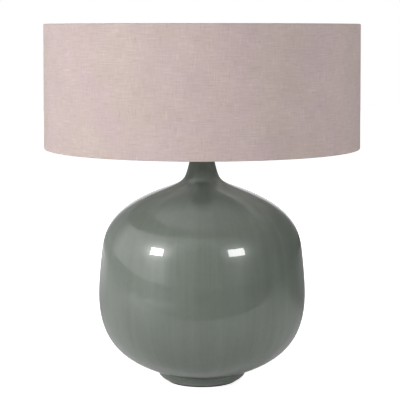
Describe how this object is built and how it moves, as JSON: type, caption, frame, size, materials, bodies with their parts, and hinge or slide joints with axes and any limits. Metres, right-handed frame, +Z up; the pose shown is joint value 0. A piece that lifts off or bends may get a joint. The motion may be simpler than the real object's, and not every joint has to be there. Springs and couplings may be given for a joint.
{
  "type": "table lamp",
  "caption": "Table lamp with a round glazed ceramic jar on a low foot, a narrow neck, a switched lampholder and a wide linen drum shade.",
  "frame": {"origin": "middle of the underside of the felt, on the lamp's axis", "axes": "+Z up along the lamp's axis; -Y is the front and +Y the side where the cord leaves"},
  "size_m": [0.452, 0.4518, 0.516],
  "materials": {
    "glaze": "glossy grey-green glaze",
    "linen": "pink-taupe linen weave",
    "liner": "matt white laminated lining",
    "white_wire": "white powder coat",
    "felt": "dark felt",
    "rubber": "matt black rubber",
    "zinc_steel": "zinc plated",
    "brass": "satin brass",
    "black_plastic": "moulded black phenolic",
    "porcelain": "unglazed porcelain",
    "nickel": "nickel plated",
    "bulb_insulator": "black glass insulator",
    "opal_glass": "opal white",
    "clear_glass": "clear"
  },
  "bodies": {
    "stand": {"jar": "glaze", "cord_grommet": "rubber", "foot_felt": "felt", "base_gasket": "rubber", "base_plate": "zinc_steel", "base_nut": "brass", "threaded_rod": "zinc_steel", "neck_gasket": "rubber", "neck_cap": "brass", "neck_nut": "brass", "spacer_tube": "brass", "lampholder_cap": "black_plastic", "lampholder_skirt": "black_plastic", "terminal_block": "porcelain", "terminal_screws": "brass", "screw_shell": "brass", "centre_contact": "brass", "switch_contact": "brass", "lower_shade_ring": "black_plastic"},
    "switch": {"switch_bar": "black_plastic", "switch_collar": "black_plastic"},
    "shade_clamp": {"upper_shade_ring": "black_plastic"},
    "shade": {"shade_liner": "liner", "shade_fabric": "linen", "shade_bottom_ring": "white_wire", "shade_top_ring": "white_wire", "spider_arms": "white_wire", "fitter_ring": "white_wire"},
    "bulb": {"bulb_cap": "nickel", "bulb_tip": "nickel", "bulb_insulator": "bulb_insulator", "bulb_glass": "opal_glass", "bulb_stem": "clear_glass", "bulb_leads": "nickel", "bulb_filament": "nickel"}
  },
  "joints": [
    {"name": "switch_push", "type": "slide", "parent": "stand", "child": "switch", "axis": [1, 0, 0], "range_m": [-0.005, 0]},
    {"name": "shade_clamp_turn", "type": "hinge", "parent": "stand", "child": "shade_clamp", "pos_m": [0, 0, 0.382], "axis": [0, 0, 1], "continuous": true},
    {"name": "shade_turn", "type": "hinge", "parent": "stand", "child": "shade", "pos_m": [0, 0, 0.3787], "axis": [0, 0, 1], "continuous": true},
    {"name": "bulb_turn", "type": "hinge", "parent": "stand", "child": "bulb", "pos_m": [0, 0, 0.4], "axis": [0, 0, 1], "continuous": true}
  ]
}
